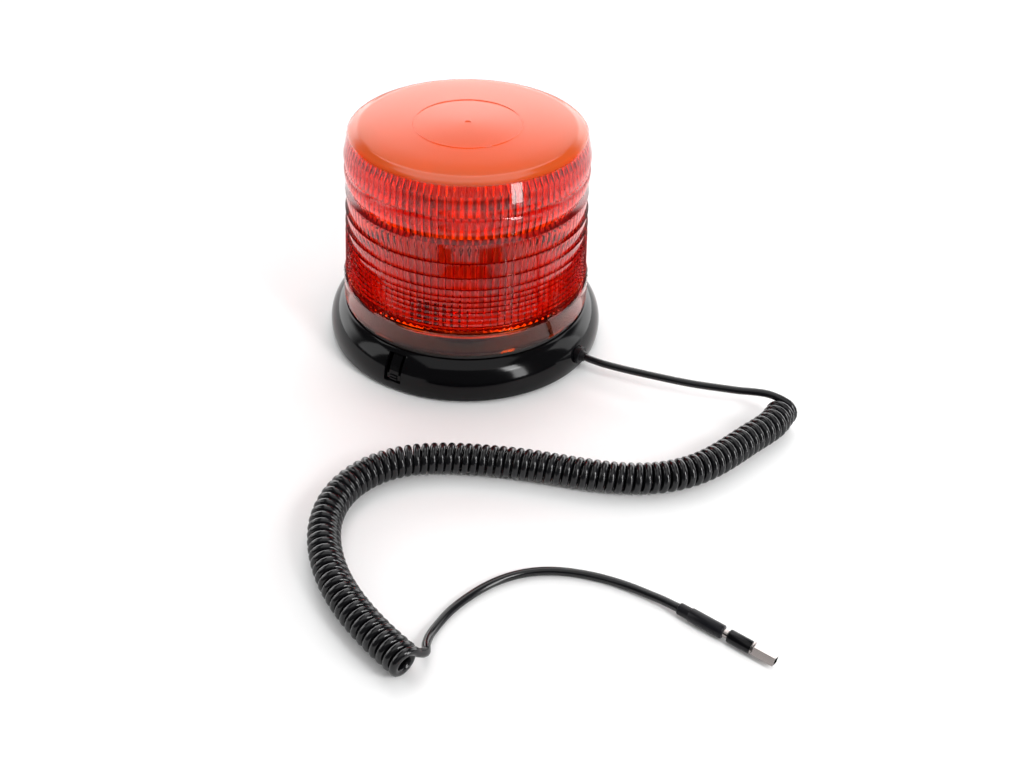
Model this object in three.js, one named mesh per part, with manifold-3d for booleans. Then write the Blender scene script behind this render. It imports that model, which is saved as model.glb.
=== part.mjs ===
// LED safety flare: an amber warning beacon on a magnetic base, with a curly lead and a slim plug.
// Millimetres, +Z up. The base stands on z = 0 and the beacon's axis is the Z axis.
import * as THREE from 'three';
import { mergeVertices } from 'three/addons/utils/BufferGeometryUtils.js';
import Module from 'manifold-3d';

const wasm = await Module();
wasm.setup();

// Driving dimensions.
const GAP = 0.3;                      // left between pieces that touch
const BASE_RADIUS = 70;               // widest point of the skirt
const BASE_WIDEST_Z = 6.5;            // height of that point
const SKIRT_DEPTH = 14;               // how far the skirt's curve reaches in from its widest point
const SKIRT_RISE = 15.5;              // how far it rises above its widest point
const SKIRT_WALL = 2.4;
const SKIRT_FOOT_Z = 1.6;
const DECK_TOP = 20.6;                // moulded deck that carries the lens and the board
const DECK_EDGE = 62;
const DECK_WALL = 2.4;
const SPIGOT_RADIUS = 58.6;           // collar that the lens locks on
const SPIGOT_WALL = 2.2;
const SPIGOT_TOP = 31;
const FOOT_HEIGHT = 1.5;              // rubber foot and rubber magnet face
const PLATE_RADIUS = 66.2;
const PLATE_BOTTOM = FOOT_HEIGHT + GAP;
const PLATE_TOP = PLATE_BOTTOM + 2.5;
const MAGNET_HOLE = 33;
const CUP_RADIUS = 32.4;
const CUP_WALL = 1.8;
const CUP_TOP = 11;
const CUP_FLANGE_RADIUS = 38;
const CUP_FLANGE_WALL = 1.6;
const CUP_SCREW_CIRCLE = 35.3;
const BOSS_CIRCLE = 52;
const BOSS_RADIUS = 4;
const BOSS_AZIMUTHS = [10, 100, 190, 280];
const LENS_FOOT_Z = 23.3;
const LENS_FOOT_RADIUS = 62.4;
const LENS_PRISM_Z = 35.3;            // lowest prism starts here, above the smooth rim
const LENS_PRISM_RADIUS = 61.2;       // prism tips at the bottom
const LENS_CROWN_RADIUS = 59.4;       // prism tips at the top
const FINE_PRISMS = 7;
const FINE_PITCH = 2.85;
const WIDE_BANDS = [3.8, 6, 7.6, 9.4];
const LENS_PRISM_TOP = 82;
const LENS_BORE = 54.8;
const LENS_RIM_BORE = 60;
const LENS_TOP_Z = 114.6;
const LENS_TOP_WALL = 2;
const TOP_FLAT_RADIUS = 52;
// [radius, height] up the lens wall above the prisms: a waist and two bulged bands with a crease between.
const LENS_BULGES = [
  [57, 84.3], [58.1, 86.4], [59.1, 89.2], [59.5, 92], [59.3, 94.6], [58.5, 95.6], [59.1, 97.6],
  [59.4, 100.2], [59.1, 102.6], [58.5, 105], [58.1, 107], [57.2, 111],
];
const TOP_RING_RADIUS = 25.8;         // fine raised ring on the top
const LUG_AZIMUTHS = [-60, 60, 180];  // bayonet lugs in the locked position
const LUG_HALF_ANGLE = 6;
const LUG_BOTTOM = 25.2;
const LUG_HEIGHT = 2.2;
const LUG_INNER = 57.1;
const TWIST = 20;                     // degrees from locked to the lift-off gap
const CATCH_AZIMUTH = -121.5;
const CATCH_SLOT_WIDTH = 9.4;
const CATCH_SLOT_BOTTOM = 5.8;
const CATCH_SLOT_TOP = 19.2;
const CATCH_SLOT_BACK = 59.6;
const CATCH_BACK = 62.6;              // inner face of the catch; it travels 1.8 mm towards the axis
const CATCH_Z = 11;                   // height of its spring
const CORD_AZIMUTH = -37;
const CORD_RADIUS = 1.8;
const CORD_SIDES = 8;
const EXIT_Z = 9.6;
const COIL_RADIUS = 7.2;              // outside of the curly part
const COIL_SIDES = 12;
const BOARD_BOTTOM = 25;
const BOARD_TOP = 26.6;
const BOARD_RADIUS = 53.5;
const STANDOFF_CIRCLE = 43;
const STANDOFF_AZIMUTHS = [30, 150, 270];
const TOWER_SIDES = 6;
const TOWER_FLAT = 15.4;              // half the width across flats
const TOWER_BOTTOM = BOARD_TOP + GAP;
const TOWER_TOP = 77.6;
const TOWER_BORE = 8;
const DISH_RADIUS = 50;               // shallow dish between the tower and the lamp head
const DISH_WALL = 1.6;
const HEAD_FLAT = 13.9;
const HEAD_BOTTOM = TOWER_TOP + DISH_WALL + 2 * GAP;
const HEAD_TOP = 103.6;
const LED_BOARD_Z = [81.4, 102.6];    // the lights face the two bulged bands of the lens
const LED_BOARD_WIDTH = 13;
const LED_BOARD_WALL = 1.6;
const LED_COUNT = 2;
const LED_PITCH = 9.6;
const TOWER_SCREW_CIRCLE = 11.3;
const TOWER_SCREW_AZIMUTHS = [0, 180];
const DISH_SCREW_AZIMUTHS = [60, 240];
const HOLE_AZIMUTH = CORD_AZIMUTH;    // the inner lead rises through the deck here
const HOLE_CIRCLE = 40;
const HOLE_RADIUS = 3;
const PLUG_START = [81.0, -202.6, 3.2];
const PLUG_AZIMUTH = -39.1;
const PLUG_ROLL = -24;                // the flat sides of the plug are rolled about its length

// The free lead from the base to the curly part.
const LEAD_ONE = [
  [59.0, -44.5, 9.6], [61.6, -46.4, 9.6], [66.5, -49.6, 9.7], [75.0, -53.9, 9.9], [84.1, -58.2, 10.3],
  [93.1, -62.5, 10.9], [102.0, -66.6, 11.5], [110.9, -70.2, 12.1], [119.9, -73.2, 12.7],
  [128.8, -75.8, 13.1], [135.5, -77.2, 13.4], [141.5, -78.9, 13.4], [145.9, -81.7, 13.2],
];
// The middle of the curly part, from its lead end to its plug end.
const COIL_PATH = [
  [147.0, -85.4], [141.1, -93.5], [135.0, -99.0], [127.7, -104.8], [119.2, -112.0], [110.3, -119.0],
  [101.3, -124.6], [91.0, -128.8], [79.2, -131.0], [66.0, -130.8], [53.1, -128.6], [40.1, -125.4],
  [27.0, -122.2], [13.7, -119.8], [0.3, -118.2], [-11.5, -117.6], [-24.3, -118.6], [-35.4, -121.8],
  [-45.4, -127.8], [-53.4, -136.2], [-58.8, -146.6], [-61.3, -157.8], [-61.2, -169.0],
  [-59.1, -180.4], [-55.4, -191.4], [-50.1, -202.0], [-43.4, -212.3], [-35.6, -222.2], [-25.4, -233.4],
];
const COIL_Z = 7.3;
// The free lead from the curly part to the plug.
const LEAD_TWO = [
  [-18.6, -226.6, 5.6], [-18.4, -221.4, 3.9], [-17.0, -215.6, 2.5], [-13.4, -209.0, 1.9],
  [-9.0, -202.8, 1.9], [-1.1, -194.9, 1.9], [7.1, -188.7, 1.9], [15.3, -184.5, 1.9], [23.6, -182.1, 1.9],
  [31.8, -181.4, 1.9], [40.0, -182.2, 1.9], [48.0, -184.0, 1.9], [55.8, -186.8, 2.0],
  [63.4, -190.5, 2.2], [70.8, -195.3, 2.7], [75.6, -198.6, 3.1], [80.75, -202.4, 3.2],
];

const MATERIALS = {
  blackGloss: [0x0b0b0c, 0.18, 0],
  blackMatt: [0x141414, 0.6, 0],
  rubber: [0x1c1c1c, 0.85, 0],
  amber: [0xe2410f, 0.12, 0],
  steel: [0xb9bcc0, 0.3, 1],
  zinc: [0xc4c6c8, 0.35, 1],
  ferrite: [0x2b2b2d, 0.55, 0],
  aluminium: [0xc9ccce, 0.4, 1],
  board: [0x1d5a34, 0.5, 0],
  whiteBoard: [0xe9e9e4, 0.45, 0],
  clear: [0xf2f4f0, 0.08, 0],
  chrome: [0xe4e6e8, 0.1, 1],
  sleeve: [0x27313f, 0.4, 0],
  copper: [0xb4622d, 0.35, 1],
  redWire: [0xa01512, 0.5, 0],
  ivory: [0xe6dfcb, 0.5, 0],
};

function material(kind) {
  const [color, roughness, metalness] = MATERIALS[kind];
  return new THREE.MeshStandardMaterial({ color, roughness, metalness, flatShading: true });
}

// A geometry as a solid: vertices merged, needle triangles dropped, faces turned outwards.
function solid(geometry) {
  const bare = geometry.clone();
  bare.deleteAttribute('normal');
  bare.deleteAttribute('uv');
  const merged = mergeVertices(bare, 1e-3);
  const position = merged.attributes.position;
  const corners = [];
  let volume = 0;
  for (let i = 0; i < merged.index.count; i += 3) {
    const [a, b, c] = [0, 1, 2].map((k) => merged.index.getX(i + k));
    if (a === b || b === c || c === a) continue;
    corners.push(a, b, c);
    const [p, q, r] = [a, b, c].map((k) => new THREE.Vector3().fromBufferAttribute(position, k));
    volume += p.dot(q.cross(r));
  }
  if (volume < 0) corners.reverse();
  return new wasm.Manifold(new wasm.Mesh({
    numProp: 3,
    vertProperties: new Float32Array(position.array),
    triVerts: new Uint32Array(corners),
  }));
}

function join(first, ...others) {
  return others.reduce((whole, geometry) => whole.add(solid(geometry)), solid(first));
}

function cut(whole, ...tools) {
  return tools.reduce((rest, geometry) => rest.subtract(solid(geometry)), whole);
}

function mesh(name, shape, kind) {
  const whole = shape.isBufferGeometry ? solid(shape) : shape;
  const { vertProperties, triVerts } = whole.getMesh();
  const geometry = new THREE.BufferGeometry();
  geometry.setAttribute('position', new THREE.BufferAttribute(vertProperties, 3));
  geometry.setIndex(new THREE.BufferAttribute(triVerts, 1));
  geometry.computeVertexNormals();
  const piece = new THREE.Mesh(geometry, material(kind));
  piece.name = name;
  return piece;
}

const radians = THREE.MathUtils.degToRad;

function block(x, y, z) {
  const shape = new THREE.BoxGeometry(x[1] - x[0], y[1] - y[0], z[1] - z[0]);
  return shape.translate((x[0] + x[1]) / 2, (y[0] + y[1]) / 2, (z[0] + z[1]) / 2);
}

function rod(radius, z0, z1, sides = 20) {
  const shape = new THREE.CylinderGeometry(radius, radius, z1 - z0, sides);
  return shape.rotateX(Math.PI / 2).translate(0, 0, (z0 + z1) / 2);
}

// A profile of [radius, height] points turned about the Z axis.
function turned(points, sides) {
  const outline = points.map(([r, z]) => new THREE.Vector2(r, z));
  return new THREE.LatheGeometry(outline, sides).rotateX(Math.PI / 2);
}

// The same with the profile's heights running along X.
function turnedAlongX(points, sides) {
  return turned(points, sides).rotateY(Math.PI / 2);
}

function ring(inner, outer, z0, z1, sides) {
  return turned([[inner, z0], [outer, z0], [outer, z1], [inner, z1], [inner, z0]], sides);
}

// A block bent round the Z axis, between two radii and two azimuths.
function sector(inner, outer, from, to, z0, z1) {
  const outline = new THREE.Shape();
  outline.absarc(0, 0, outer, radians(from), radians(to), false);
  outline.absarc(0, 0, inner, radians(to), radians(from), true);
  const shape = new THREE.ExtrudeGeometry(outline, { depth: z1 - z0, bevelEnabled: false, curveSegments: 8 });
  return shape.translate(0, 0, z0);
}

// Moves a geometry made at the axis out to a radius and an azimuth, facing outwards.
function polar(geometry, radius, azimuth) {
  return geometry.translate(radius, 0, 0).rotateZ(radians(azimuth));
}

function tube(points, radius, sides, steps) {
  const path = new THREE.CatmullRomCurve3(points.map((p) => new THREE.Vector3(...p)), false, 'centripetal');
  const outline = new THREE.Shape();
  for (let i = 0; i < sides; i += 1) {
    const angle = (2 * Math.PI * (i + 0.5)) / sides;
    const corner = [radius * Math.cos(angle), radius * Math.sin(angle)];
    if (i === 0) outline.moveTo(...corner);
    else outline.lineTo(...corner);
  }
  outline.closePath();
  return new THREE.ExtrudeGeometry(outline, { steps, bevelEnabled: false, extrudePath: path });
}

// Points of the skirt's elliptical curve, set in from the outside by a wall, between two heights.
function skirtCurve(inset, fromZ, toZ, steps) {
  const depth = SKIRT_DEPTH - inset;
  const rise = SKIRT_RISE - inset;
  const angleAt = (z) => Math.asin((z - BASE_WIDEST_Z) / rise);
  const points = [];
  for (let i = 0; i <= steps; i += 1) {
    const angle = angleAt(fromZ) + ((angleAt(toZ) - angleAt(fromZ)) * i) / steps;
    const radius = BASE_RADIUS - SKIRT_DEPTH + depth * Math.cos(angle);
    points.push([radius, BASE_WIDEST_Z + rise * Math.sin(angle)]);
  }
  return points;
}

// Axis-aligned screw: head from z0 to z1, shank on to z2.
function screw(headRadius, shankRadius, z0, z1, z2) {
  const points = [[0, z0], [headRadius, z0], [headRadius, z1], [shankRadius, z1], [shankRadius, z2], [0, z2]];
  return turned(points, 16);
}

function baseHousing() {
  const deckBottom = DECK_TOP - DECK_WALL;
  const spigotBore = SPIGOT_RADIUS - SPIGOT_WALL;
  const body = turned([
    [0, DECK_TOP], [spigotBore, DECK_TOP], [spigotBore, SPIGOT_TOP], [SPIGOT_RADIUS, SPIGOT_TOP],
    [SPIGOT_RADIUS, DECK_TOP], [DECK_EDGE, DECK_TOP],
    ...skirtCurve(0, DECK_TOP - 0.3, SKIRT_FOOT_Z, 9),
    ...skirtCurve(SKIRT_WALL, SKIRT_FOOT_Z, deckBottom, 5),
    [0, deckBottom],
  ], 72);
  const halfSlot = CATCH_SLOT_WIDTH / 2;
  const bossBottom = PLATE_TOP + GAP;
  const halfPocket = halfSlot + 1.6;
  const pocketBlock = block([55.4, 72], [-halfPocket, halfPocket], [bossBottom, DECK_TOP]);
  const pocket = polar(pocketBlock, 0, CATCH_AZIMUTH);
  const bosses = BOSS_AZIMUTHS.map((azimuth) =>
    polar(rod(BOSS_RADIUS, bossBottom, DECK_TOP - 1), BOSS_CIRCLE, azimuth));
  const standoffs = STANDOFF_AZIMUTHS.map((azimuth) =>
    polar(rod(BOSS_RADIUS, DECK_TOP - 1, BOARD_BOTTOM - GAP), STANDOFF_CIRCLE, azimuth));
  const whole = join(body, ...bosses, ...standoffs).add(solid(pocket).intersect(withinSkirt(0.4)));
  const lockTop = LUG_BOTTOM + LUG_HEIGHT + GAP;
  const lugWay = (from, to, top) => sector(spigotBore - 1, SPIGOT_RADIUS + 1,
    from - LUG_HALF_ANGLE, to + LUG_HALF_ANGLE, LUG_BOTTOM - GAP, top);
  const lugWays = LUG_AZIMUTHS.flatMap((azimuth) => [
    lugWay(azimuth - 0.7, azimuth + TWIST + 0.9, lockTop),
    lugWay(azimuth + TWIST - 0.9, azimuth + TWIST + 0.9, SPIGOT_TOP + 1),
  ]);
  const outward = (geometry, z, azimuth) =>
    polar(geometry.rotateY(Math.PI / 2).translate(0, 0, z), 0, azimuth);
  const slot = block([CATCH_SLOT_BACK, 72], [-halfSlot, halfSlot], [CATCH_SLOT_BOTTOM, CATCH_SLOT_TOP]);
  const screwHole = (radius, z0, z1, circle, azimuth) => polar(rod(radius, z0, z1, 12), circle, azimuth);
  return mesh('base_housing', cut(whole, ...lugWays,
    polar(slot, 0, CATCH_AZIMUTH),
    outward(rod(2.1, 57.4, CATCH_SLOT_BACK + 1), CATCH_Z, CATCH_AZIMUTH),
    outward(rod(4.2, 60, 72), EXIT_Z, CORD_AZIMUTH),
    polar(rod(HOLE_RADIUS, DECK_TOP - 4, DECK_TOP + 1), HOLE_CIRCLE, HOLE_AZIMUTH),
    ...BOSS_AZIMUTHS.map((azimuth) => screwHole(1.6, 0, 14, BOSS_CIRCLE, azimuth)),
    ...STANDOFF_AZIMUTHS.map((azimuth) =>
      screwHole(1.5, DECK_TOP - 1, BOARD_BOTTOM, STANDOFF_CIRCLE, azimuth)),
  ), 'blackGloss');
}

function basePlate() {
  const plate = solid(ring(MAGNET_HOLE, PLATE_RADIUS, PLATE_BOTTOM, PLATE_TOP, 60));
  return mesh('base_plate', cut(plate,
    ...BOSS_AZIMUTHS.map((azimuth) => polar(rod(1.8, 0, 6, 12), BOSS_CIRCLE, azimuth)),
    ...BOSS_AZIMUTHS.map((azimuth) => polar(rod(3.4, 0, PLATE_BOTTOM + 1.4, 16), BOSS_CIRCLE, azimuth)),
    ...STANDOFF_AZIMUTHS.map((azimuth) => polar(rod(1.3, 0, 6, 12), CUP_SCREW_CIRCLE, azimuth)),
  ), 'blackMatt');
}

function magnetCup() {
  const flangeBottom = PLATE_TOP + GAP;
  const flangeTop = flangeBottom + CUP_FLANGE_WALL;
  const cup = solid(turned([
    [CUP_RADIUS, PLATE_BOTTOM], [CUP_RADIUS, flangeBottom], [CUP_FLANGE_RADIUS, flangeBottom],
    [CUP_FLANGE_RADIUS, flangeTop], [CUP_RADIUS, flangeTop], [CUP_RADIUS, CUP_TOP], [0, CUP_TOP],
    [0, CUP_TOP - CUP_WALL], [CUP_RADIUS - CUP_WALL, CUP_TOP - CUP_WALL],
    [CUP_RADIUS - CUP_WALL, PLATE_BOTTOM], [CUP_RADIUS, PLATE_BOTTOM],
  ], 40));
  return mesh('magnet_cup', cut(cup,
    ...STANDOFF_AZIMUTHS.map((azimuth) => polar(rod(1.5, 0, 8, 12), CUP_SCREW_CIRCLE, azimuth)),
  ), 'zinc');
}

function magnetParts() {
  const magnetTop = CUP_TOP - CUP_WALL - GAP;
  const parts = [
    mesh('magnet_pad', rod(34, 0, FOOT_HEIGHT, 48), 'rubber'),
    mesh('foot_ring', ring(59.5, 66, 0, FOOT_HEIGHT, 60), 'rubber'),
    magnetCup(),
    mesh('ring_magnet', ring(9, CUP_RADIUS - CUP_WALL - GAP, PLATE_BOTTOM, magnetTop, 40), 'ferrite'),
  ];
  STANDOFF_AZIMUTHS.forEach((azimuth, i) => {
    const headBottom = PLATE_TOP + 2 * GAP + CUP_FLANGE_WALL;
    const shape = screw(2.4, 1.1, headBottom + 1.5, headBottom, PLATE_BOTTOM + 0.2);
    parts.push(mesh(`cup_screw_${i + 1}`, polar(shape, CUP_SCREW_CIRCLE, azimuth), 'steel'));
  });
  BOSS_AZIMUTHS.forEach((azimuth, i) => {
    const shape = screw(3, 1.3, PLATE_BOTTOM + 0.1, PLATE_BOTTOM + 1.1, 13);
    parts.push(mesh(`base_screw_${i + 1}`, polar(shape, BOSS_CIRCLE, azimuth), 'steel'));
  });
  return parts;
}

// Tip radius of the prisms at a height.
function tipRadius(z) {
  const share = (z - LENS_PRISM_Z) / (LENS_PRISM_TOP - LENS_PRISM_Z);
  return LENS_PRISM_RADIUS + (LENS_CROWN_RADIUS - LENS_PRISM_RADIUS) * share;
}

function lensProfile() {
  const points = [
    [LENS_RIM_BORE, LENS_FOOT_Z], [LENS_FOOT_RADIUS, LENS_FOOT_Z], [62, 33.4], [62.3, 34.2], [61.8, 35],
  ];
  const bands = [...Array(FINE_PRISMS).fill(FINE_PITCH), ...WIDE_BANDS];
  let z = LENS_PRISM_Z;
  for (const height of bands) {
    points.push([tipRadius(z) - 0.5 - 0.08 * height, z]);
    z += height;
    points.push([tipRadius(z), z]);
  }
  points.push([LENS_CROWN_RADIUS - 0.1, z + 0.9], ...LENS_BULGES);
  points.push([56.4, 111.7], [TOP_FLAT_RADIUS + 0.6, 113], [TOP_FLAT_RADIUS, 113.2]);
  points.push([TOP_RING_RADIUS, 114], [TOP_RING_RADIUS - 0.3, 114.3], [0, LENS_TOP_Z]);
  points.push([0, LENS_TOP_Z - LENS_TOP_WALL], [47, 111], [50.6, 110.2], [LENS_BORE, 104.8], [LENS_BORE, 37]);
  points.push([LENS_RIM_BORE, 33.6], [LENS_RIM_BORE, LENS_FOOT_Z]);
  return points;
}

function lens() {
  const lugs = LUG_AZIMUTHS.map((azimuth) =>
    sector(LUG_INNER, LENS_RIM_BORE + 0.5, azimuth - LUG_HALF_ANGLE, azimuth + LUG_HALF_ANGLE,
      LUG_BOTTOM, LUG_BOTTOM + LUG_HEIGHT));
  return mesh('lens', join(turned(lensProfile(), 48), ...lugs), 'amber');
}

function lensSeal() {
  return mesh('lens_seal', ring(59.2, 61.2, DECK_TOP + GAP, LENS_FOOT_Z - GAP, 48), 'rubber');
}

// Everything inside the skirt's outer curve, set in by an inset.
function withinSkirt(inset) {
  const curve = skirtCurve(inset, SKIRT_FOOT_Z, DECK_TOP - 2, 8);
  return solid(turned([[0, 0], ...curve, [0, DECK_TOP - 1]], 72));
}

function releaseCatch() {
  const turn = (x, y, z) => polar(block(x, y, z), 0, CATCH_AZIMUTH);
  const stem = turn([CATCH_BACK, 71], [-2.6, 2.6], [9, 18]);
  const foot = turn([CATCH_BACK, 71], [-3.7, 3.7], [6.4, 9.6]);
  const ribs = [6.9, 8.4].map((z) => turn([CATCH_BACK + 1, 71], [-2, 2], [z, z + 0.8]));
  const face = join(stem, foot).intersect(withinSkirt(1.4));
  const proud = join(...ribs).intersect(withinSkirt(0.7));
  return mesh('release_catch', face.add(proud), 'blackGloss');
}

function catchSpring() {
  const turns = 4;
  const pointsPerTurn = 10;
  const points = [];
  for (let i = 0; i <= turns * pointsPerTurn; i += 1) {
    const angle = (2 * Math.PI * i) / pointsPerTurn;
    points.push([59.95 + (2.1 * i) / (turns * pointsPerTurn), 1.45 * Math.cos(angle), 1.45 * Math.sin(angle)]);
  }
  const wire = tube(points, 0.2, 6, turns * pointsPerTurn).translate(0, 0, CATCH_Z);
  return mesh('catch_spring', polar(wire, 0, CATCH_AZIMUTH), 'steel');
}

function cordEntry() {
  const gland = turnedAlongX([
    [0, 63.6], [4.9, 63.6], [4.9, 64.8], [3.8, 64.8], [3.8, 70.3], [4.4, 70.3], [4.4, 71.5],
    [3, 71.5], [2.3, 73.5], [0, 73.5],
  ], 20).translate(0, 0, EXIT_Z);
  const inner = [
    [63.2, 0, EXIT_Z], [60, 0, 9.9], [55, 0, 12.4], [50, 0, 13.8], [45, 0, 14.4], [41.5, 0, 16.2],
    [40, 0, 19.5], [40, 0, 23],
  ];
  const clamp = polar(block([48, 52], [-6, 6], [11, DECK_TOP - DECK_WALL - GAP]), 0, CORD_AZIMUTH);
  const clampHole = polar(tube([[56, 0, 11.6], [50, 0, 13.8], [45, 0, 14.4]], 2.3, 8, 4), 0, CORD_AZIMUTH);
  return [
    mesh('cord_gland', polar(gland, 0, CORD_AZIMUTH), 'blackMatt'),
    mesh('cord_clamp', cut(solid(clamp), clampHole), 'blackMatt'),
    mesh('inner_lead', polar(tube(inner, CORD_RADIUS, CORD_SIDES, 16), 0, CORD_AZIMUTH), 'blackGloss'),
  ];
}

function mainBoard() {
  const disc = solid(rod(BOARD_RADIUS, BOARD_BOTTOM, BOARD_TOP, 48));
  const hole = (radius, circle, azimuth) =>
    polar(rod(radius, BOARD_BOTTOM - 1, BOARD_TOP + 1, 12), circle, azimuth);
  return mesh('main_board', cut(disc,
    hole(HOLE_RADIUS, HOLE_CIRCLE, HOLE_AZIMUTH),
    ...STANDOFF_AZIMUTHS.map((azimuth) => hole(1.8, STANDOFF_CIRCLE, azimuth)),
    ...TOWER_SCREW_AZIMUTHS.map((azimuth) => hole(1.4, TOWER_SCREW_CIRCLE, azimuth)),
  ), 'board');
}

// A hexagonal column with a bore, standing on one of its ends.
function column(flat, bottom, top) {
  const corner = flat / Math.cos(Math.PI / TOWER_SIDES);
  const whole = solid(rod(corner, bottom, top, TOWER_SIDES).rotateZ(Math.PI / TOWER_SIDES));
  return cut(whole, rod(TOWER_BORE, 0, LENS_TOP_Z, 24));
}

function tower() {
  const hole = (z, azimuth) => polar(rod(1.3, z - 10, z + 10, 12), TOWER_SCREW_CIRCLE, azimuth);
  return mesh('heat_sink_tower', cut(column(TOWER_FLAT, TOWER_BOTTOM, TOWER_TOP),
    ...TOWER_SCREW_AZIMUTHS.map((azimuth) => hole(TOWER_BOTTOM, azimuth)),
    ...DISH_SCREW_AZIMUTHS.map((azimuth) => hole(TOWER_TOP, azimuth)),
  ), 'aluminium');
}

function lampHead() {
  return mesh('lamp_head', cut(column(HEAD_FLAT, HEAD_BOTTOM, HEAD_TOP),
    ...DISH_SCREW_AZIMUTHS.map((azimuth) =>
      polar(rod(1.3, HEAD_BOTTOM - 1, HEAD_TOP + 1, 12), TOWER_SCREW_CIRCLE, azimuth)),
  ), 'aluminium');
}

function ledFaces() {
  const parts = [];
  const face = HEAD_FLAT + GAP;
  const front = face + LED_BOARD_WALL + GAP;
  const [low, high] = LED_BOARD_Z;
  for (let i = 0; i < TOWER_SIDES; i += 1) {
    const azimuth = 30 + (360 / TOWER_SIDES) * i;
    const half = LED_BOARD_WIDTH / 2;
    const board = block([face, face + LED_BOARD_WALL], [-half, half], [low, high]);
    parts.push(mesh(`led_board_${i + 1}`, polar(board, 0, azimuth), 'whiteBoard'));
    const pieces = [block([front, front + 1.1], [-4, 4], [low + 2, high - 2])];
    for (let led = 0; led < LED_COUNT; led += 1) {
      const z = (low + high) / 2 + (led - (LED_COUNT - 1) / 2) * LED_PITCH;
      const dome = [[0, 0.5], [3.4, 0.5], [2.9, 2.4], [1.4, 3.7], [0, 4]].map(([r, x]) => [r, x + front]);
      pieces.push(turnedAlongX(dome, 10).translate(0, 0, z));
    }
    pieces.forEach((piece) => polar(piece, 0, azimuth));
    parts.push(mesh(`optic_bar_${i + 1}`, join(...pieces), 'clear'));
  }
  return parts;
}

function reflectorDish() {
  const bottom = TOWER_TOP + GAP;
  const top = bottom + DISH_WALL;
  const dish = solid(turned([
    [0, bottom], [DISH_RADIUS - 2.2, bottom], [DISH_RADIUS, bottom + 2.4],
    [DISH_RADIUS - 1.1, bottom + 3.4], [DISH_RADIUS - 2.9, top], [0, top],
  ], 48));
  const hole = (azimuth) => polar(rod(1.6, bottom - 1, bottom + 3, 12), TOWER_SCREW_CIRCLE, azimuth);
  const wireHole = rod(5, bottom - 1, top + 1);
  return mesh('reflector_dish', cut(dish, ...DISH_SCREW_AZIMUTHS.map(hole), wireHole), 'aluminium');
}

function innerScrews() {
  const parts = [];
  const headScrewSeat = HEAD_TOP + GAP;
  STANDOFF_AZIMUTHS.forEach((azimuth, i) => {
    const shape = screw(2.6, 1.2, TOWER_BOTTOM + 1.6, TOWER_BOTTOM, DECK_TOP + 1);
    parts.push(mesh(`board_screw_${i + 1}`, polar(shape, STANDOFF_CIRCLE, azimuth), 'steel'));
  });
  TOWER_SCREW_AZIMUTHS.forEach((azimuth, i) => {
    const shape = screw(2.3, 1, BOARD_BOTTOM - GAP - 1.6, BOARD_BOTTOM - GAP, TOWER_BOTTOM + 8);
    parts.push(mesh(`tower_screw_${i + 1}`, polar(shape, TOWER_SCREW_CIRCLE, azimuth), 'steel'));
  });
  DISH_SCREW_AZIMUTHS.forEach((azimuth, i) => {
    const shape = screw(2.4, 1, headScrewSeat + 1.6, headScrewSeat, TOWER_TOP - 8);
    parts.push(mesh(`dish_screw_${i + 1}`, polar(shape, TOWER_SCREW_CIRCLE, azimuth), 'steel'));
  });
  return parts;
}

function electronics() {
  const seat = TOWER_BOTTOM;
  const raise = (points) => points.map(([r, z]) => [r, z + seat]);
  const can = turned(raise([[0, 0], [5, 0], [5, 1.3], [4.6, 1.8], [5, 2.3], [5, 13], [0, 13]]), 20);
  const drum = turned(raise([
    [0, 0], [5.5, 0], [5.5, 1.5], [4, 2], [4, 5.5], [5.5, 6], [5.5, 7.5], [0, 7.5],
  ]), 20);
  const regulator = join(
    polar(block([32.5, 37], [-5, 5], [seat, seat + 9]), 0, 245),
    polar(block([35.8, 37], [-5, 5], [seat + 8, seat + 15]), 0, 245),
  );
  const socket = polar(block([27, 33], [-5.5, 5.5], [seat, seat + 6]), 0, HOLE_AZIMUTH);
  const parts = [
    mesh('capacitor', polar(can, 34, 95), 'sleeve'),
    mesh('inductor', polar(drum, 34, 20), 'copper'),
    mesh('controller_chip', polar(block([29, 37], [-4, 4], [seat, seat + 1.5]), 0, 200), 'blackMatt'),
    mesh('voltage_regulator', regulator, 'blackMatt'),
    mesh('supply_connector', socket, 'ivory'),
  ];
  [[-0.85, 'redWire'], [0.85, 'blackMatt']].forEach(([y, kind], i) => {
    const route = [[40, y, 23.4], [40, y, 27.5], [39, y, 29.6], [36.5, y, 30.6], [33.4, y, 30.6]];
    parts.push(mesh(`supply_wire_${i + 1}`, polar(tube(route, 0.6, 6, 8), 0, HOLE_AZIMUTH), kind));
  });
  return parts;
}

function cord() {
  const coil = COIL_PATH.map(([x, y]) => [x, y, COIL_Z]);
  return [
    mesh('lead_1', tube(LEAD_ONE, CORD_RADIUS, CORD_SIDES, 16), 'blackGloss'),
    mesh('curly_cord', tube(coil, COIL_RADIUS, COIL_SIDES, 36), 'blackGloss'),
    mesh('lead_2', tube(LEAD_TWO, CORD_RADIUS, CORD_SIDES, 22), 'blackGloss'),
  ];
}

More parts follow.
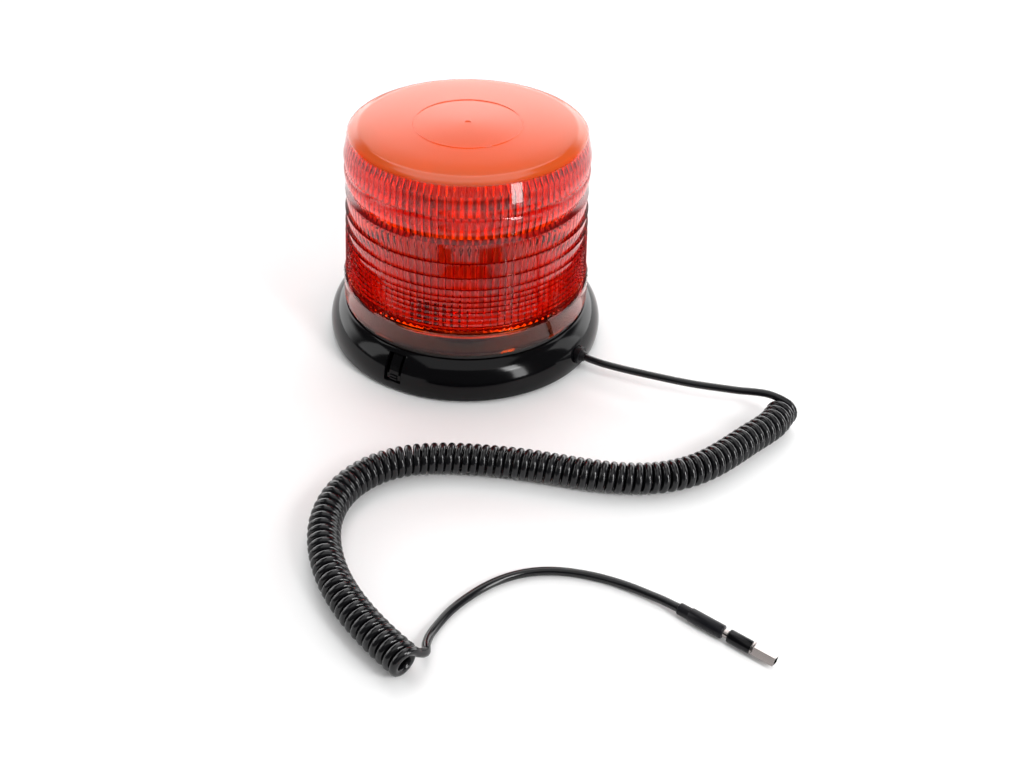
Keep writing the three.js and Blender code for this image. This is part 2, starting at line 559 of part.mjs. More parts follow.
function plug() {
  const place = (geometry) =>
    geometry.rotateX(radians(PLUG_ROLL)).rotateZ(radians(PLUG_AZIMUTH)).translate(...PLUG_START);
  const boot = turnedAlongX([
    [0, 0], [2, 0], [2.5, 0.8], [2.5, 5], [2.85, 5.4], [2.85, 19.4], [2.4, 19.7], [0, 19.7],
  ], 20);
  const grip = turnedAlongX([[0, 21.9], [2.4, 21.9], [2.75, 22.4], [2.75, 31.6], [0, 31.6]], 20);
  const width = 2.2;
  const height = 1.75;
  const wall = 0.35;
  const shell = place(block([32.8, 41.7], [-width, width], [-height, height]));
  const inside = place(block([33.8, 43], [wall - width, width - wall], [wall - height, height - wall]));
  return [
    mesh('plug_boot', place(boot), 'blackMatt'),
    mesh('plug_barrel', place(turnedAlongX([[0, 20], [1.7, 20], [1.7, 21.6], [0, 21.6]], 16)), 'chrome'),
    mesh('plug_body', place(grip), 'blackGloss'),
    mesh('plug_collar', place(turnedAlongX([[0, 31.9], [2.8, 31.9], [2.8, 32.5], [0, 32.5]], 20)), 'chrome'),
    mesh('plug_shell', cut(solid(shell), inside), 'chrome'),
    mesh('plug_tongue', place(block([34.1, 40.6], [-1.5, 1.5], [-0.2, 1])), 'blackMatt'),
  ];
}

const beacon = new THREE.Group();
beacon.name = 'led_safety_flare';
beacon.add(
  baseHousing(), basePlate(), ...magnetParts(),
  lens(), lensSeal(), releaseCatch(), catchSpring(), ...cordEntry(),
  mainBoard(), tower(), reflectorDish(), lampHead(), ...ledFaces(), ...innerScrews(), ...electronics(),
  ...cord(), ...plug(),
);

export default beacon;
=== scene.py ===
# Looks of the LED safety flare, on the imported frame. Metres, +Z up.
from math import asin, ceil, cos, pi, radians, sin

import bmesh
import bpy
from mathutils import Matrix, Vector


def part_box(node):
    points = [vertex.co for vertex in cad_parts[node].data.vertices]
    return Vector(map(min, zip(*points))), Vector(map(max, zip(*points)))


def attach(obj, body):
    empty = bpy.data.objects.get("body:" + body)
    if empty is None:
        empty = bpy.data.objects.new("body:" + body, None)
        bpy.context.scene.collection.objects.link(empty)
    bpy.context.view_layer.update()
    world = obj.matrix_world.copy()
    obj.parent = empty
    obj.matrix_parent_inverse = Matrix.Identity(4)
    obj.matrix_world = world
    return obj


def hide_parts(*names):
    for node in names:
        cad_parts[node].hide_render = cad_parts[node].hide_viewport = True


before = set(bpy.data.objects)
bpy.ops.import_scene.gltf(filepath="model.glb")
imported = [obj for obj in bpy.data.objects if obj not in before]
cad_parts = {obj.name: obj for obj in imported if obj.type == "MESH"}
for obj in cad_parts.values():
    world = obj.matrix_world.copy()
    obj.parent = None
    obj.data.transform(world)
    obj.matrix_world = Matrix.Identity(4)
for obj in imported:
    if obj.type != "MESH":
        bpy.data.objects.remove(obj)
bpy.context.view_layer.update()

MM = 0.001
CORD_RADIUS = 1.8 * MM
CORD_STEP = 1.5 * MM                  # spacing of the points on the leads and on the path of the coil
COIL_TURN_RADIUS = 5.4 * MM           # axis of the curly part to the middle of the wire
COIL_PITCH = 3.8 * MM
COIL_Z = 7.3                          # height of the coil's path, in millimetres like the path
COIL_POINTS_PER_TURN = 20
COIL_UP = Vector((0, 0, 1))
COIL_LEAD_IN = 2.4 * MM               # how far the first turn starts before the path does
COIL_END_ANGLE = radians(65)          # added to the whole turns
BASE_TURN = 192                       # points round the base
PLUG_TURN = 64                        # points round the plug's sleeves
FLUTES = 104                          # vertical flutes inside the lens
POINTS_PER_FLUTE = 8
FLUTE_DEPTH = 0.8                     # millimetres
FROST_FOOT = 110.4 * MM               # the lens is clear below this height
FROST_FULL = 112 * MM                 # and frosted above this one
CATCH_AZIMUTH = radians(-121.5)
CORD_AZIMUTH = radians(-37)
PLUG_START = (81.0, -202.6, 3.2)      # where the boot begins, in millimetres
PLUG_AZIMUTH = radians(-39.1)
PLUG_ROLL = radians(-24)
FLOOR_REACH = 6                       # from the middle of the floor to its sides
WALL_LIGHT = 4.0                      # pale wall behind
WALL_FADE = (0.36, 0.54)              # it fades out between these sines of the angle above level
WALL_SPREAD = (0.1, 0.5)              # and comes up between these cosines of the angle from +Y
ROOM_LIGHT = 0.12                     # the rest of the room
CAMERA_PLACE = (-0.0132, -0.5237, 0.3620)
CAMERA_DIP = 37.6                     # degrees below level
CAMERA_LENS = 42.2                    # millimetres
CAMERA_SENSOR = 36                    # millimetres
CAMERA_SHIFT = 0.0704

# The lead from the base to the curly part, the middle of the curly part, and the lead to the plug, in
# millimetres.
LEAD_ONE = [
    (59.0, -44.5, 9.6), (61.6, -46.4, 9.6), (66.5, -49.6, 9.7), (75.0, -53.9, 9.9), (84.1, -58.2, 10.3),
    (93.1, -62.5, 10.9), (102.0, -66.6, 11.5), (110.9, -70.2, 12.1), (119.9, -73.2, 12.7),
    (128.8, -75.8, 13.1), (135.5, -77.2, 13.4), (141.5, -78.9, 13.4), (145.9, -81.7, 13.2),
]
COIL_PATH = [
    (147.0, -85.4), (141.1, -93.5), (135.0, -99.0), (127.7, -104.8), (119.2, -112.0), (110.3, -119.0),
    (101.3, -124.6), (91.0, -128.8), (79.2, -131.0), (66.0, -130.8), (53.1, -128.6), (40.1, -125.4),
    (27.0, -122.2), (13.7, -119.8), (0.3, -118.2), (-11.5, -117.6), (-24.3, -118.6), (-35.4, -121.8),
    (-45.4, -127.8), (-53.4, -136.2), (-58.8, -146.6), (-61.3, -157.8), (-61.2, -169.0),
    (-59.1, -180.4), (-55.4, -191.4), (-50.1, -202.0), (-43.4, -212.3), (-35.6, -222.2), (-25.4, -233.4),
]
LEAD_TWO = [
    (-18.6, -226.6, 5.6), (-18.4, -221.4, 3.9), (-17.0, -215.6, 2.5), (-13.4, -209.0, 1.9),
    (-9.0, -202.8, 1.9), (-1.1, -194.9, 1.9), (7.1, -188.7, 1.9), (15.3, -184.5, 1.9), (23.6, -182.1, 1.9),
    (31.8, -181.4, 1.9), (40.0, -182.2, 1.9), (48.0, -184.0, 1.9), (55.8, -186.8, 2.0),
    (63.4, -190.5, 2.2), (70.8, -195.3, 2.7), (75.6, -198.6, 3.1), (80.75, -202.4, 3.2),
]

# The prism rings of the lens wall, in millimetres: where they start and end, the height of each, the
# radius of the lowest tip and how much less the highest has.
PRISM_FOOT, PRISM_TOP = 35.3, 82
PRISM_HEIGHTS = [2.85] * 7 + [3.8, 6, 7.6, 9.4]
PRISM_TIP, PRISM_TAPER = 61.2, 1.8
# Radius and height up the two bulged bands above the prisms, in millimetres.
LENS_BULGES = [
    [(57, 84.3), (58.1, 86.4), (59.1, 89.2), (59.5, 92), (59.3, 94.6), (58.5, 95.6)],
    [(58.7, 96.1), (59.1, 97.6), (59.4, 100.2), (59.1, 102.6), (58.5, 105), (58.1, 107), (57.2, 111)],
]
BULGE_STEP = 0.8                      # spacing of the points on their curves, in millimetres
# Radius, height and share of the flutes' depth along the inside of the lens, from its foot to its crown.
LENS_INSIDE = [
    (60, 33.9, 0), (57.5, 36, 0.4), (55.4, 37.2, 1), (55.2, 38.5, 1), (55.2, 60, 1), (55.2, 80, 1),
    (55.2, 104.4, 1), (54.9, 105, 1), (52.6, 108, 1), (51, 109.9, 0.6), (50, 110.6, 0), (44, 111.2, 0),
    (26, 112, 0), (0, 112.3, 0),
]

# Name, place, target, size and power in watts of each lamp.
STAGE_MIDDLE = (0, -0.05, 0.03)
LAMPS = [
    ("overhead", (0.0, 0.75, 1.3), STAGE_MIDDLE, (1.0, 1.0), 8),
    ("front_fill", (0.0, -0.5, 1.7), STAGE_MIDDLE, (1.8, 1.8), 10),
    ("key", (0.62, -0.75, 0.72), STAGE_MIDDLE, (0.22, 0.3), 4),
    ("low_card", (0.37, -0.43, 0.17), (0.02, -0.05, 0.1), (0.1, 0.34), 1.2),
    ("left", (-1.0, -0.1, 0.5), STAGE_MIDDLE, (0.35, 0.8), 2),
    ("right", (1.1, 0.1, 0.5), STAGE_MIDDLE, (0.35, 0.8), 2),
]


def make_camera():
    data = bpy.data.cameras.new("camera")
    data.lens = CAMERA_LENS
    data.sensor_width = CAMERA_SENSOR
    data.shift_x = CAMERA_SHIFT
    camera = bpy.data.objects.new("camera", data)
    camera.location = CAMERA_PLACE
    camera.rotation_euler = (radians(90 - CAMERA_DIP), 0, 0)
    bpy.context.collection.objects.link(camera)
    bpy.context.scene.camera = camera


def metres(points):
    return [Vector(point) * MM for point in points]


def smooth_line(points, step, before=None, after=None):
    """Points along a centripetal Catmull-Rom curve through the given ones, about a step apart.

    The point before and the one after only set the direction at the two ends.
    """
    first = 2 * points[0] - points[1] if before is None else before
    last = 2 * points[-1] - points[-2] if after is None else after
    ends = [first, *points, last]
    line = []
    for a, b, c, d in zip(ends, ends[1:], ends[2:], ends[3:]):
        t0 = 0.0
        t1 = t0 + (b - a).length ** 0.5
        t2 = t1 + (c - b).length ** 0.5
        t3 = t2 + (d - c).length ** 0.5
        count = max(2, ceil((c - b).length / step))
        for i in range(count):
            t = t1 + (t2 - t1) * i / count
            ab = a.lerp(b, (t - t0) / (t1 - t0))
            bc = b.lerp(c, (t - t1) / (t2 - t1))
            cd = c.lerp(d, (t - t2) / (t3 - t2))
            abc = ab.lerp(bc, (t - t0) / (t2 - t0))
            bcd = bc.lerp(cd, (t - t1) / (t3 - t1))
            line.append(abc.lerp(bcd, (t - t1) / (t2 - t1)))
    return line + [points[-1]]


def helix(path):
    """The curly part: turns about a path that lies level, starting at the top of the first turn."""
    lengths = [0.0]
    for a, b in zip(path, path[1:]):
        lengths.append(lengths[-1] + (b - a).length)
    whole = lengths[-1] + COIL_LEAD_IN
    turns = round(whole / COIL_PITCH) + COIL_END_ANGLE / (2 * pi)
    steps = int(turns * COIL_POINTS_PER_TURN)
    points = []
    k = 0
    for i in range(steps + 1):
        along = whole * i / steps - COIL_LEAD_IN
        while k < len(path) - 2 and lengths[k + 1] < along:
            k += 1
        share = (along - lengths[k]) / (lengths[k + 1] - lengths[k])
        middle = path[k] + (path[k + 1] - path[k]) * share
        before = path[max(k - 2, 0)]
        after = path[min(k + 3, len(path) - 1)]
        heading = (after - before).normalized()
        side = Vector((-heading.y, heading.x, 0))
        angle = 2 * pi * turns * i / steps
        points.append(middle + COIL_TURN_RADIUS * (cos(angle) * COIL_UP + sin(angle) * side))
    return points


def make_cord():
    path = smooth_line(metres((x, y, COIL_Z) for x, y in COIL_PATH), CORD_STEP)
    turns = helix(path)
    start = smooth_line([*metres(LEAD_ONE), turns[0]], CORD_STEP, after=turns[2])[:-1]
    end = smooth_line([turns[-1], *metres(LEAD_TWO)], CORD_STEP, before=turns[-3])[1:]
    points = start + turns + end
    curve = bpy.data.curves.new("curly_lead", "CURVE")
    curve.dimensions = "3D"
    curve.fill_mode = "FULL"
    curve.bevel_depth = CORD_RADIUS
    curve.bevel_resolution = 4
    curve.use_fill_caps = True
    spline = curve.splines.new("POLY")
    spline.points.add(len(points) - 1)
    for spot, point in zip(spline.points, points):
        spot.co = (*point, 1)
    spline.use_smooth = True
    lead = bpy.data.objects.new("curly_lead", curve)
    bpy.context.collection.objects.link(lead)
    curve.materials.append(polyurethane("cord_sheath"))
    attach(lead, "base")
    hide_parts("lead_1", "curly_cord", "lead_2")
    return lead


# Materials: each is a small node tree in the object's own coordinates.
class Tree:
    """A material's node tree with short ways to add nodes and link them."""

    def __init__(self, name):
        self.material = bpy.data.materials.new(name)
        self.material.use_nodes = True
        self.tree = self.material.node_tree
        self.tree.nodes.clear()
        self.output = self.add("ShaderNodeOutputMaterial")
        self.place = self.add("ShaderNodeTexCoord").outputs["Object"]

    def add(self, kind, inputs=None, **settings):
        node = self.tree.nodes.new(kind)
        for key, value in settings.items():
            setattr(node, key, value)
        for key, value in (inputs or {}).items():
            socket = node.inputs[key]
            if isinstance(value, bpy.types.NodeSocket):
                self.tree.links.new(value, socket)
            else:
                socket.default_value = value
        return node

    def noise(self, scale, detail=3.0, roughness=0.5):
        inputs = {"Vector": self.place, "Scale": scale, "Detail": detail, "Roughness": roughness}
        return self.add("ShaderNodeTexNoise", inputs).outputs["Fac"]

    def span(self, value, low, high):
        inputs = {"Value": value, "To Min": low, "To Max": high}
        return self.add("ShaderNodeMapRange", inputs).outputs["Result"]

    def mix_colour(self, share, first, second):
        node = self.add("ShaderNodeMix", {"Factor": share}, data_type="RGBA")
        for socket, colour in zip((node.inputs[6], node.inputs[7]), (first, second)):
            socket.default_value = (*colour, 1)
        return node.outputs[2]

    def bump(self, height, strength, distance):
        inputs = {"Height": height, "Strength": strength, "Distance": distance}
        return self.add("ShaderNodeBump", inputs).outputs["Normal"]

    def finish(self, shader, volume=None):
        self.tree.links.new(shader, self.output.inputs["Surface"])
        if volume:
            self.tree.links.new(volume, self.output.inputs["Volume"])
        return self.material


def moulded(name, colour, roughness, grain, relief, metallic=0.0, spread=0.35, mirror=0.5):
    """A moulded, cast or plated surface: clouded colour, uneven gloss and a fine grain.

    The mirror share is how strongly its skin reflects, 0.5 for plain plastic.
    """
    tree = Tree(name)
    clouds = tree.noise(45, 4.0)
    fine = tree.noise(grain, 2.0, 0.6)
    darker = tuple(part * (1 - spread) for part in colour)
    lighter = tuple(min(1, part * (1 + spread)) for part in colour)
    shader = tree.add("ShaderNodeBsdfPrincipled", {
        "Base Color": tree.mix_colour(clouds, darker, lighter),
        "Roughness": tree.span(clouds, roughness * 0.75, min(1, roughness * 1.3)),
        "Metallic": metallic,
        "Specular IOR Level": mirror,
        "Normal": tree.bump(fine, 0.35, relief),
    })
    return tree.finish(shader.outputs[0])


def polyurethane(name):
    return moulded(name, (0.004, 0.004, 0.005), 0.16, 2600, 0.02 * MM, mirror=0.4)


def gloss_black(name):
    return moulded(name, (0.002, 0.002, 0.0025), 0.11, 1400, 0.015 * MM, mirror=0.2)


def brushed(name, colour, roughness, direction):
    """Metal with fine drawn lines: noise stretched along one direction."""
    tree = Tree(name)
    stretch = tree.add("ShaderNodeMapping", {"Vector": tree.place, "Scale": direction}).outputs[0]
    lines = tree.add("ShaderNodeTexNoise", {"Vector": stretch, "Scale": 900, "Detail": 3.0}).outputs["Fac"]
    shader = tree.add("ShaderNodeBsdfPrincipled", {
        "Base Color": tree.mix_colour(lines, tuple(c * 0.82 for c in colour), colour),
        "Roughness": tree.span(lines, roughness * 0.7, roughness * 1.4),
        "Metallic": 1.0,
        "Normal": tree.bump(lines, 0.25, 0.03 * MM),
    })
    return tree.finish(shader.outputs[0])


def amber_lens(name):
    """Tinted clear plastic with a frosted crown.

    It refracts what is behind it, and its thickness sets how red it looks.
    """
    tree = Tree(name)
    waves = tree.noise(60, 2.0)
    glass = tree.add("ShaderNodeBsdfPrincipled", {
        "Base Color": tree.mix_colour(waves, (1, 0.86, 0.74), (1, 0.92, 0.82)),
        "Roughness": tree.span(waves, 0.02, 0.05),
        "Transmission Weight": 1.0,
        "IOR": 1.49,
        "Specular IOR Level": 0.2,
        "Normal": tree.bump(waves, 0.05, 0.05 * MM),
    })
    through = tree.add("ShaderNodeBsdfTranslucent", {"Color": (0.92, 0.17, 0.035, 1)})
    face = tree.add("ShaderNodeBsdfPrincipled", {"Base Color": (0.8, 0.14, 0.02, 1), "Roughness": 0.17})
    frost = tree.add("ShaderNodeMixShader", {0: 0.65, 1: through.outputs[0], 2: face.outputs[0]})
    height = tree.add("ShaderNodeSeparateXYZ", {"Vector": tree.place}).outputs["Z"]
    crown = tree.add("ShaderNodeMapRange", {
        "Value": height, "From Min": FROST_FOOT, "From Max": FROST_FULL, "To Min": 0.0, "To Max": 0.85,
    }).outputs["Result"]
    seen = tree.add("ShaderNodeMixShader", {0: crown, 1: glass.outputs[0], 2: frost.outputs[0]})
    clear = tree.add("ShaderNodeBsdfTransparent", {"Color": (1, 0.8, 0.5, 1)})
    path = tree.add("ShaderNodeLightPath")
    whole = tree.add("ShaderNodeMixShader", {
        0: path.outputs["Is Shadow Ray"], 1: seen.outputs[0], 2: clear.outputs[0],
    })
    tint = tree.add("ShaderNodeVolumeAbsorption", {"Color": (0.965, 0.56, 0.0, 1), "Density": 1000.0})
    return tree.finish(whole.outputs[0], tint.outputs[0])


def clear_optic(name):
    tree = Tree(name)
    swirl = tree.noise(300, 3.0)
    shader = tree.add("ShaderNodeBsdfPrincipled", {
        "Base Color": tree.mix_colour(swirl, (0.85, 0.86, 0.84), (0.97, 0.97, 0.95)),
        "Roughness": tree.span(swirl, 0.05, 0.14),
        "Transmission Weight": 0.6,
        "IOR": 1.49,
        "Normal": tree.bump(swirl, 0.1, 0.05 * MM),
    })
    return tree.finish(shader.outputs[0])


def solder_mask(name, colour, trace):
    """A printed board: mask over tracks that a brick pattern draws, with an uneven gloss."""
    tree = Tree(name)
    tracks = tree.add("ShaderNodeTexBrick", {
        "Vector": tree.place, "Scale": 160.0, "Mortar Size": 0.06, "Color1": (*colour, 1),
        "Color2": (*[part * 0.8 for part in colour], 1), "Mortar": (*trace, 1),
    })
    grain = tree.noise(1800, 2.0)
    shader = tree.add("ShaderNodeBsdfPrincipled", {
        "Base Color": tracks.outputs["Color"],
        "Roughness": tree.span(grain, 0.25, 0.45),
        "Normal": tree.bump(tracks.outputs["Fac"], 0.3, 0.04 * MM),
    })
    return tree.finish(shader.outputs[0])


def paint_node(node, surface):
    """Gives a CAD node a finished material in every slot."""
    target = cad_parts[node]
    if not target.material_slots:
        target.data.materials.append(surface)
    for place in target.material_slots:
        place.material = surface


def mesh_piece(name, points, faces, surface, body, nodes, slot, smooth_angle=35):
    """A new piece from points and faces, smooth except at edges sharper than an angle."""
    data = bpy.data.meshes.new(name)
    data.from_pydata(points, [], faces)
    piece = bpy.data.objects.new(name, data)
    bpy.context.collection.objects.link(piece)
    data.materials.append(surface)
    tidy_normals(data, smooth_angle)
    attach(piece, body)
    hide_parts(*nodes)
    return piece


def tidy_normals(data, smooth_angle):
    work = bmesh.new()
    work.from_mesh(data)
    bmesh.ops.remove_doubles(work, verts=work.verts, dist=1e-6)
    bmesh.ops.recalc_face_normals(work, faces=work.faces)
    for face in work.faces:
        face.smooth = True
    for edge in work.edges:
        if len(edge.link_faces) == 2:
            edge.smooth = edge.calc_face_angle(0) < radians(smooth_angle)
    work.to_mesh(data)
    work.free()


def ring_faces(rings, count):
    """Faces between neighbouring rings of points."""
    faces = []
    for ring in range(rings - 1):
        low = ring * count
        high = low + count
        for i in range(count):
            j = (i + 1) % count
            faces.append((low + i, low + j, high + j, high + i))
    return faces


def turned(profile, count):
    """Points and faces of a profile of (radius, height) turned about Z, from the axis and back to it."""
    points = []
    for radius, height in profile:
        for i in range(count):
            angle = 2 * pi * i / count
            points.append((radius * cos(angle), radius * sin(angle), height))
    return points, ring_faces(len(profile), count)


def block(x, y, z):
    """Points and faces of a box between three pairs of limits."""
    points = [(a, b, c) for a in x for b in y for c in z]
    faces = [(0, 1, 3, 2), (4, 6, 7, 5), (0, 4, 5, 1), (2, 3, 7, 6), (0, 2, 6, 4), (1, 5, 7, 3)]
    return points, faces


def moved(shape, turn):
    points, faces = shape
    return [tuple(turn @ Vector(point)) for point in points], faces


def rotation(angle, axis="Z"):
    return Matrix.Rotation(angle, 4, axis)


def carve(piece, shapes):
    """Cuts closed shapes out of a piece."""
    for points, faces in shapes:
        data = bpy.data.meshes.new("cutter")
        data.from_pydata(points, [], faces)
        tidy_normals(data, 30)
        cutter = bpy.data.objects.new("cutter", data)
        bpy.context.collection.objects.link(cutter)
        step = piece.modifiers.new("cut", "BOOLEAN")
        step.object = cutter
        step.operation = "DIFFERENCE"
        step.solver = "EXACT"
        bake(piece)
        bpy.data.objects.remove(cutter)


def bake(piece):
    """Applies a piece's modifiers."""
    shaped = piece.evaluated_get(bpy.context.evaluated_depsgraph_get())
    data = bpy.data.meshes.new_from_object(shaped)
    piece.modifiers.clear()
    piece.data = data


def arc(centre, radii, start, end, steps):
    """Points along an elliptical arc between two angles."""
    points = []
    for i in range(steps + 1):
        angle = start + (end - start) * i / steps
        points.append((centre[0] + radii[0] * cos(angle), centre[1] + radii[1] * sin(angle)))
    return points


def base_profile():
    """Half the base's section: deck, spigot for the lens, rounded skirt, and the hollow below."""
    low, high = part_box("base_housing")
    depth, rise, widest = 14 * MM, 15.5 * MM, 6.5 * MM
    wall = 2.4 * MM
    deck, deck_bottom, deck_edge = 20.6 * MM, 18.2 * MM, 62.1 * MM
    spigot, bore, spigot_top = 58.6 * MM, 56.4 * MM, high.z
    chamfer = 0.4 * MM
    deck_drop = 0.35 * MM
    centre = (high.x - depth, widest)
    foot_angle = asin((low.z - widest) / rise)
    inner_foot = asin((low.z - widest) / (rise - wall))
    shoulder = asin((deck - deck_drop - widest) / rise)
    inner_top = asin((deck_bottom - widest) / (rise - wall))
    return [
        (0, deck), (bore, deck), (bore, spigot_top - chamfer), (bore + chamfer, spigot_top),
        (spigot - chamfer, spigot_top), (spigot, spigot_top - chamfer), (spigot, deck),
        (deck_edge, deck), *arc(centre, (depth, rise), shoulder, foot_angle, 28),
        *arc(centre, (depth - wall, rise - wall), inner_foot, inner_top, 10), (0, deck_bottom),
    ]


def make_base():
    base = mesh_piece("base_shell", *turned(base_profile(), BASE_TURN), gloss_black("base_gloss"), "base",
                      ["base_housing"], "housing")
    reach = 80 * MM
    slot_half, slot_start = 4.7 * MM, 59.6 * MM
    slot_low, slot_high = 5.8 * MM, 19.2 * MM
    slot = block((slot_start, reach), (-slot_half, slot_half), (slot_low, slot_high))
    hole_radius, hole_start = 4.3 * MM, 60 * MM
    exit_height = LEAD_ONE[0][2] * MM
    drill = turned([(0, hole_start), (hole_radius, hole_start), (hole_radius, reach), (0, reach)], 48)
    hole = moved(drill, Matrix.Translation((0, 0, exit_height)) @ rotation(pi / 2, "Y"))
    carve(base, [moved(slot, rotation(CATCH_AZIMUTH)), moved(hole, rotation(CORD_AZIMUTH))])
    edge = base.modifiers.new("edge", "BEVEL")
    edge.width = 0.35 * MM
    edge.segments = 2
    edge.limit_method = "ANGLE"
    edge.angle_limit = radians(50)
    bake(base)
    tidy_normals(base.data, 40)


def prism_tip(height):
    """Radius of the prism tips at a height, in millimetres."""
    return PRISM_TIP - PRISM_TAPER * (height - PRISM_FOOT) / (PRISM_TOP - PRISM_FOOT)


def lens_outline():
    """The lens cover's outside from rim to crown, as (radius, height) in millimetres."""
    low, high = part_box("lens")
    rim, foot = high.x / MM, low.z / MM
    points = [
        (rim - 0.3, foot), (rim, foot + 0.3), (rim - 0.35, 33.2), (rim - 0.1, 33.8), (rim - 0.15, 34.6),
        (rim - 0.7, 35.1),
    ]
    z = PRISM_FOOT
    for height in PRISM_HEIGHTS:
        points.append((prism_tip(z) - 0.5 - 0.08 * height, z))
        z += height
        points.append((prism_tip(z) - 0.25, z - 0.18 * height))
        points.append((prism_tip(z), z - 0.1))
    points += [(59.3, 82.7), (58, 83.5)]
    for band in LENS_BULGES:
        line = smooth_line([Vector((*point, 0)) for point in band], BULGE_STEP)
        points += [(spot.x, spot.y) for spot in line]
    points += [(56.4, 111.7), (54.6, 112.3), (52.8, 112.95), (52.2, 113.2), (51, 113.3), (40, 113.7)]
    points += [(26.3, 114), (26.1, 114.4), (25.7, 114.4), (25.5, 114.1)]
    points += [(12, 114.5), (1.6, 114.6), (1.2, 114.2), (0, 114.1)]
    return points


def lens_shell():
    """Outside from crown to rim, then the inside back up, with scalloped flutes on the inner wall."""
    count = FLUTES * POINTS_PER_FLUTE
    rows = [(radius, height, 0) for radius, height in reversed(lens_outline())]
    rows.append((LENS_INSIDE[0][0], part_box("lens")[0].z / MM, 0))
    rows += LENS_INSIDE
    points = []
    for radius, height, share in rows:
        for i in range(count):
            angle = 2 * pi * i / count
            phase = (i % POINTS_PER_FLUTE) / POINTS_PER_FLUTE
            reach = radius - share * FLUTE_DEPTH * sin(pi * phase)
            points.append((reach * cos(angle) * MM, reach * sin(angle) * MM, height * MM))
    return points, ring_faces(len(rows), count)


def make_lens():
    mesh_piece("lens_cover_shell", *lens_shell(), amber_lens("amber_polycarbonate"), "lens_cover", ["lens"],
               "lens", 28)


def make_plug():
    start = Matrix.Translation(Vector(PLUG_START) * MM)
    place = start @ rotation(PLUG_AZIMUTH) @ rotation(PLUG_ROLL, "X") @ rotation(pi / 2, "Y")
    matt = moulded("plug_matt", (0.004, 0.004, 0.006), 0.34, 2200, 0.03 * MM, mirror=0.2)
    gloss = gloss_black("plug_gloss")
    plate = moulded("plug_plate", (0.3, 0.27, 0.26), 0.08, 1500, 0.01 * MM, metallic=1.0, spread=0.1)

    def along(points):
        return [(radius * MM, distance * MM) for radius, distance in points]

    boot = along([
        (0, 0), (2.1, 0), (2.4, 0.25), (2.5, 0.7), (2.5, 4.7), (2.6, 5.1), (2.85, 5.5), (2.85, 18.9),
        (2.75, 19.4), (2.5, 19.7), (0, 19.7),
    ])
    grip = along([
        (0, 21.9), (2.2, 21.9), (2.6, 22.1), (2.75, 22.6), (2.75, 31.2), (2.65, 31.6), (0, 31.6),
    ])
    pieces = [
        mesh_piece("boot_sleeve", *moved(turned(boot, PLUG_TURN), place), matt, "base", ["plug_boot"],
                   "plug_boot"),
        mesh_piece("body_sleeve", *moved(turned(grip, PLUG_TURN), place), gloss, "base", ["plug_body"],
                   "plug_body"),
    ]
    for node in ("plug_barrel", "plug_collar", "plug_shell"):
        paint_node(node, plate)
        pieces.append(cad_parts[node])
    paint_node("plug_tongue", moulded("tongue_nylon", (0.02, 0.02, 0.02), 0.5, 1800, 0.02 * MM))
    pieces.append(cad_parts["plug_tongue"])
    return pieces


def paint_cad_nodes():
    zinc = brushed("zinc_plate", (0.62, 0.63, 0.65), 0.3, (1, 1, 0.1))
    steel = moulded("screw_steel", (0.55, 0.55, 0.57), 0.28, 2500, 0.02 * MM, metallic=1.0)
    rubber = moulded("base_rubber", (0.016, 0.016, 0.016), 0.8, 1100, 0.05 * MM)
    matt = moulded("plate_abs", (0.016, 0.016, 0.017), 0.5, 1500, 0.05 * MM)
    satin = brushed("tower_aluminium", (0.74, 0.75, 0.76), 0.32, (1, 1, 0.05))
    white = solder_mask("white_mask", (0.85, 0.85, 0.83), (0.72, 0.72, 0.7))
    surfaces = {
        "base_plate": matt, "cord_clamp": matt, "magnet_pad": rubber, "foot_ring": rubber,
        "lens_seal": rubber, "magnet_cup": zinc,
        "ring_magnet": moulded("ferrite", (0.05, 0.05, 0.055), 0.55, 900, 0.06 * MM),
        "catch_spring": steel,
        "release_catch": gloss_black("catch_gloss"),
        "cord_gland": moulded("gland_rubber", (0.004, 0.004, 0.005), 0.4, 1600, 0.04 * MM, mirror=0.2),
        "inner_lead": polyurethane("inner_sheath"),
        "main_board": white,
        "heat_sink_tower": satin, "lamp_head": satin,
        "reflector_dish": brushed("dish_aluminium", (0.8, 0.8, 0.81), 0.25, (1, 1, 0.2)),
        "capacitor": moulded("capacitor_sleeve", (0.02, 0.035, 0.09), 0.35, 1200, 0.03 * MM),
        "inductor": brushed("copper_turns", (0.6, 0.26, 0.1), 0.35, (0.1, 0.1, 1)),
        "controller_chip": moulded("chip_epoxy", (0.02, 0.02, 0.02), 0.55, 2400, 0.03 * MM),
        "voltage_regulator": moulded("regulator_epoxy", (0.025, 0.025, 0.025), 0.5, 2400, 0.03 * MM),
        "supply_connector": moulded("connector_nylon", (0.8, 0.76, 0.64), 0.45, 1400, 0.03 * MM, spread=0.1),
        "supply_wire_1": moulded("red_pvc", (0.5, 0.02, 0.015), 0.4, 1600, 0.02 * MM),
        "supply_wire_2": moulded("black_pvc", (0.015, 0.015, 0.015), 0.4, 1600, 0.02 * MM),
    }
    optic = clear_optic("optic_acrylic")
    for node, surface in surfaces.items():
        paint_node(node, surface)
    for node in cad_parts:
        if node.startswith("led_board"):
            paint_node(node, white)
        elif node.startswith("optic_bar"):
            paint_node(node, optic)
        elif "screw" in node:
            paint_node(node, steel)


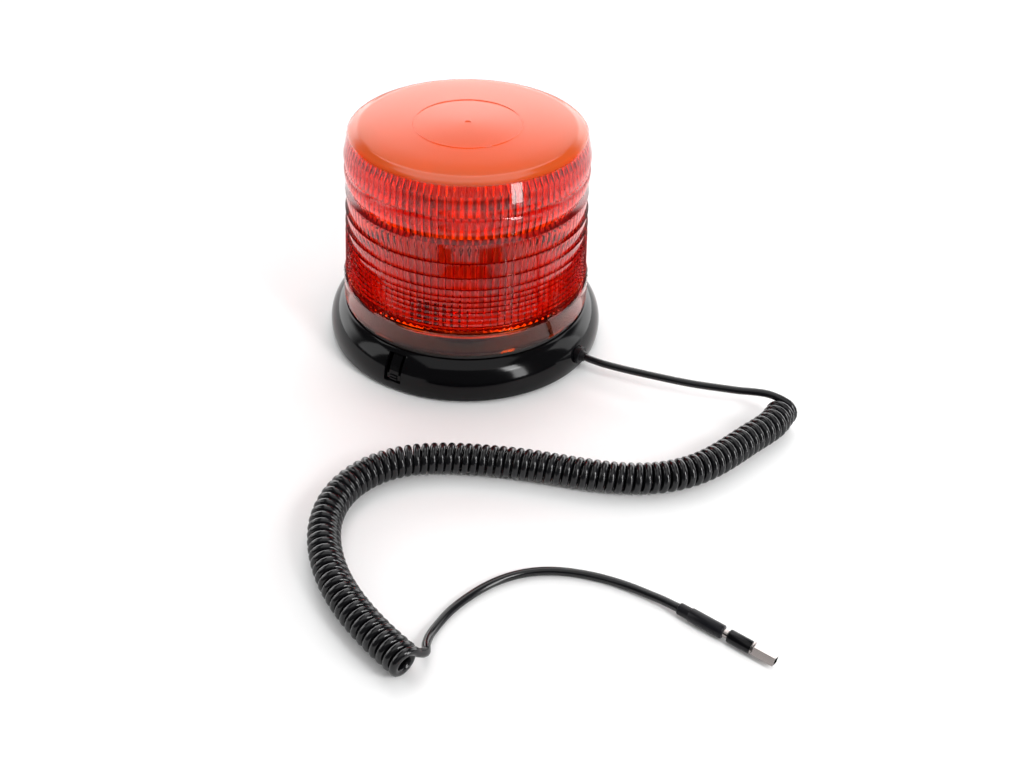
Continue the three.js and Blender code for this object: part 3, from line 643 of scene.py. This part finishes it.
def make_floor():
    corners = [(x * FLOOR_REACH, y * FLOOR_REACH, 0) for x, y in ((-1, -1), (1, -1), (1, 1), (-1, 1))]
    data = bpy.data.meshes.new("floor")
    data.from_pydata(corners, [], [(0, 1, 2, 3)])
    floor = bpy.data.objects.new("floor", data)
    bpy.context.collection.objects.link(floor)
    data.materials.append(moulded("floor_paper", (0.9, 0.9, 0.9), 0.6, 400, 0.02 * MM, spread=0.01))


def make_room():
    """A pale wall behind, which fades out upwards and to the sides, in a dim room."""
    world = bpy.data.worlds.new("studio")
    bpy.context.scene.world = world
    world.use_nodes = True
    tree = world.node_tree
    background = tree.nodes["Background"]
    background.inputs["Color"].default_value = (1, 1, 1, 1)
    look = tree.nodes.new("ShaderNodeSeparateXYZ")
    tree.links.new(tree.nodes.new("ShaderNodeTexCoord").outputs["Generated"], look.inputs["Vector"])
    low = world_span(tree, look.outputs["Z"], WALL_FADE, (WALL_LIGHT, 0))
    behind = world_span(tree, look.outputs["Y"], WALL_SPREAD, (0, 1))
    wall = world_math(tree, "MULTIPLY", low, behind)
    tree.links.new(world_math(tree, "ADD", wall, ROOM_LIGHT), background.inputs["Strength"])


def world_span(tree, value, source, target):
    node = tree.nodes.new("ShaderNodeMapRange")
    node.interpolation_type = "SMOOTHSTEP"
    tree.links.new(value, node.inputs["Value"])
    limits = ("From Min", "From Max", "To Min", "To Max")
    for key, limit in zip(limits, (*source, *target)):
        node.inputs[key].default_value = limit
    return node.outputs["Result"]


def world_math(tree, operation, first, second):
    node = tree.nodes.new("ShaderNodeMath")
    node.operation = operation
    tree.links.new(first, node.inputs[0])
    if isinstance(second, float):
        node.inputs[1].default_value = second
    else:
        tree.links.new(second, node.inputs[1])
    return node.outputs[0]


def area_light(name, place, target, size, power):
    data = bpy.data.lights.new(name, "AREA")
    data.shape = "RECTANGLE"
    data.size, data.size_y = size
    data.energy = power
    lamp = bpy.data.objects.new(name, data)
    lamp.location = place
    lamp.visible_camera = False
    aim = Vector(target) - Vector(place)
    lamp.rotation_euler = aim.to_track_quat("-Z", "Y").to_euler()
    bpy.context.collection.objects.link(lamp)


make_camera()
lead = make_cord()
make_base()
make_lens()
plug = make_plug()
paint_cad_nodes()
make_floor()
make_room()
for lamp in LAMPS:
    area_light(*lamp)
bpy.context.scene.view_settings.view_transform = "Standard"
